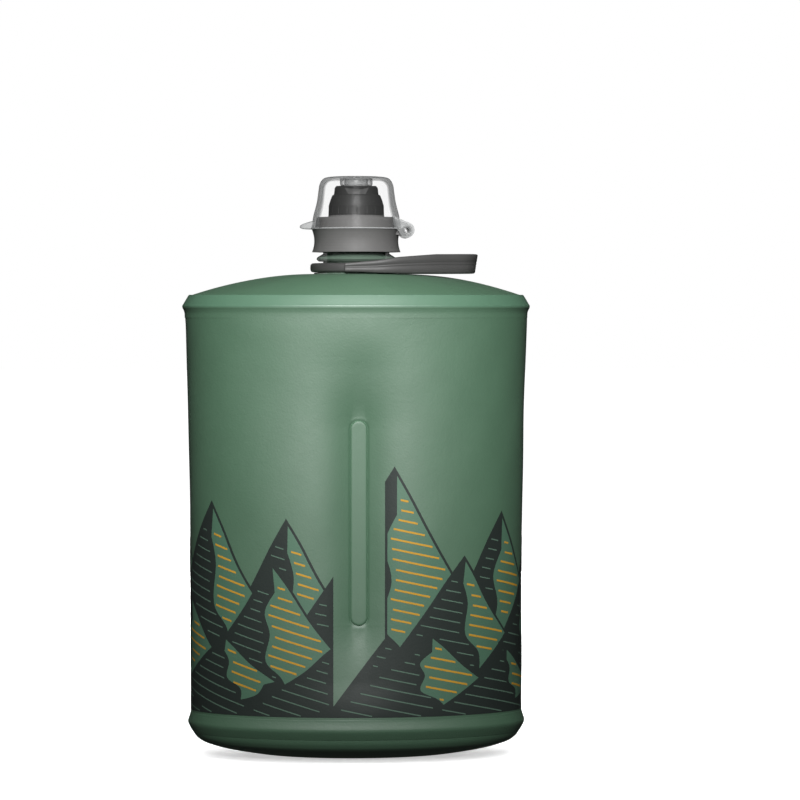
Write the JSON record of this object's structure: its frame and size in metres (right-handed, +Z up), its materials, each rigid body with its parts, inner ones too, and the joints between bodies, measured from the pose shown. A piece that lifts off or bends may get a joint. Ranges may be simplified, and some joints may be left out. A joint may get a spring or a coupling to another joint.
{
  "type": "folding water bottle",
  "caption": "Soft folding water bottle with oval welded film bag, threaded neck, screw cap, twist-open spout, hinged clear dust cover and flexible carrying strap.",
  "frame": {"origin": "middle of the flat foot of the bag, on the floor", "axes": "+Z up the bottle to the cap, -Y out of the printed front, +X towards the strap loop"},
  "size_m": [0.13, 0.0722, 0.2159],
  "materials": {
    "film_green": "satin grained film",
    "neck_clear": "clear, green tinted",
    "cap_grey": "fine matt",
    "spout_dark": "soft matt",
    "cover_clear": "clear",
    "strap_grey": "soft satin",
    "seal_pale": "matt",
    "seal_dark": "matt",
    "pin_grey": "smooth"
  },
  "bodies": {
    "root": {"front_wall": "film_green", "back_wall": "film_green", "top_gusset": "film_green", "bottom_gusset": "film_green", "top_rim_weld": "film_green", "bottom_rim_weld": "film_green", "centre_baffle": "film_green", "neck_finish": "neck_clear"},
    "front_press": {"front_weld_strip": "film_green"},
    "back_press": {"back_weld_strip": "film_green"},
    "strap_collar": {"strap_ring": "strap_grey"},
    "strap_bail": {"strap_loop": "strap_grey"},
    "gasket": {"neck_gasket": "seal_pale"},
    "cap": {"screw_cap": "cap_grey", "valve_post": "cap_grey", "spout_o_ring": "seal_dark", "cover_hinge_pin": "pin_grey"},
    "collar": {"twist_collar": "spout_dark"},
    "mouthpiece": {"spout": "spout_dark"},
    "cover": {"dust_cover": "cover_clear"}
  },
  "joints": [
    {"name": "squeeze_front", "type": "slide", "parent": "root", "child": "front_press", "axis": [0, 1, 0], "range_m": [0, 0.0119], "deforming": ["front_wall", "back_wall", "top_gusset", "bottom_gusset", "top_rim_weld", "bottom_rim_weld", "centre_baffle"]},
    {"name": "squeeze_back", "type": "slide", "parent": "root", "child": "back_press", "axis": [0, -1, 0], "range_m": [0, 0.0119]},
    {"name": "strap_swivel", "type": "hinge", "parent": "root", "child": "strap_collar", "pos_m": [0, 0, 0.18185], "axis": [0, 0, 1], "continuous": true},
    {"name": "strap_lift", "type": "hinge", "parent": "strap_collar", "child": "strap_bail", "pos_m": [0, 0, 0.18385], "axis": [0, -1, 0], "range_deg": [0, 10]},
    {"name": "cap_lift", "type": "slide", "parent": "root", "child": "gasket", "axis": [0, 0, 1], "range_m": [0, 0.00635]},
    {"name": "cap_turn", "type": "hinge", "parent": "gasket", "child": "cap", "pos_m": [0, 0, 0.1985], "axis": [0, 0, 1], "range_deg": [0, 720]},
    {"name": "spout_twist", "type": "hinge", "parent": "cap", "child": "collar", "pos_m": [0, 0, 0.2015], "axis": [0, 0, 1], "range_deg": [0, 90]},
    {"name": "spout_rise", "type": "slide", "parent": "cap", "child": "mouthpiece", "axis": [0, 0, 1], "range_m": [0, 0.002]},
    {"name": "cover_flip", "type": "hinge", "parent": "cap", "child": "cover", "pos_m": [0.01857, 0, 0.1958], "axis": [0, 1, 0], "range_deg": [0, 95]}
  ],
  "couplings": [
    {"joint": "squeeze_back", "follows": "squeeze_front", "ratio": 1},
    {"joint": "cap_lift", "follows": "cap_turn", "m_per_rad": 0.00050532},
    {"joint": "spout_twist", "follows": "spout_rise", "rad_per_m": 785.4}
  ]
}
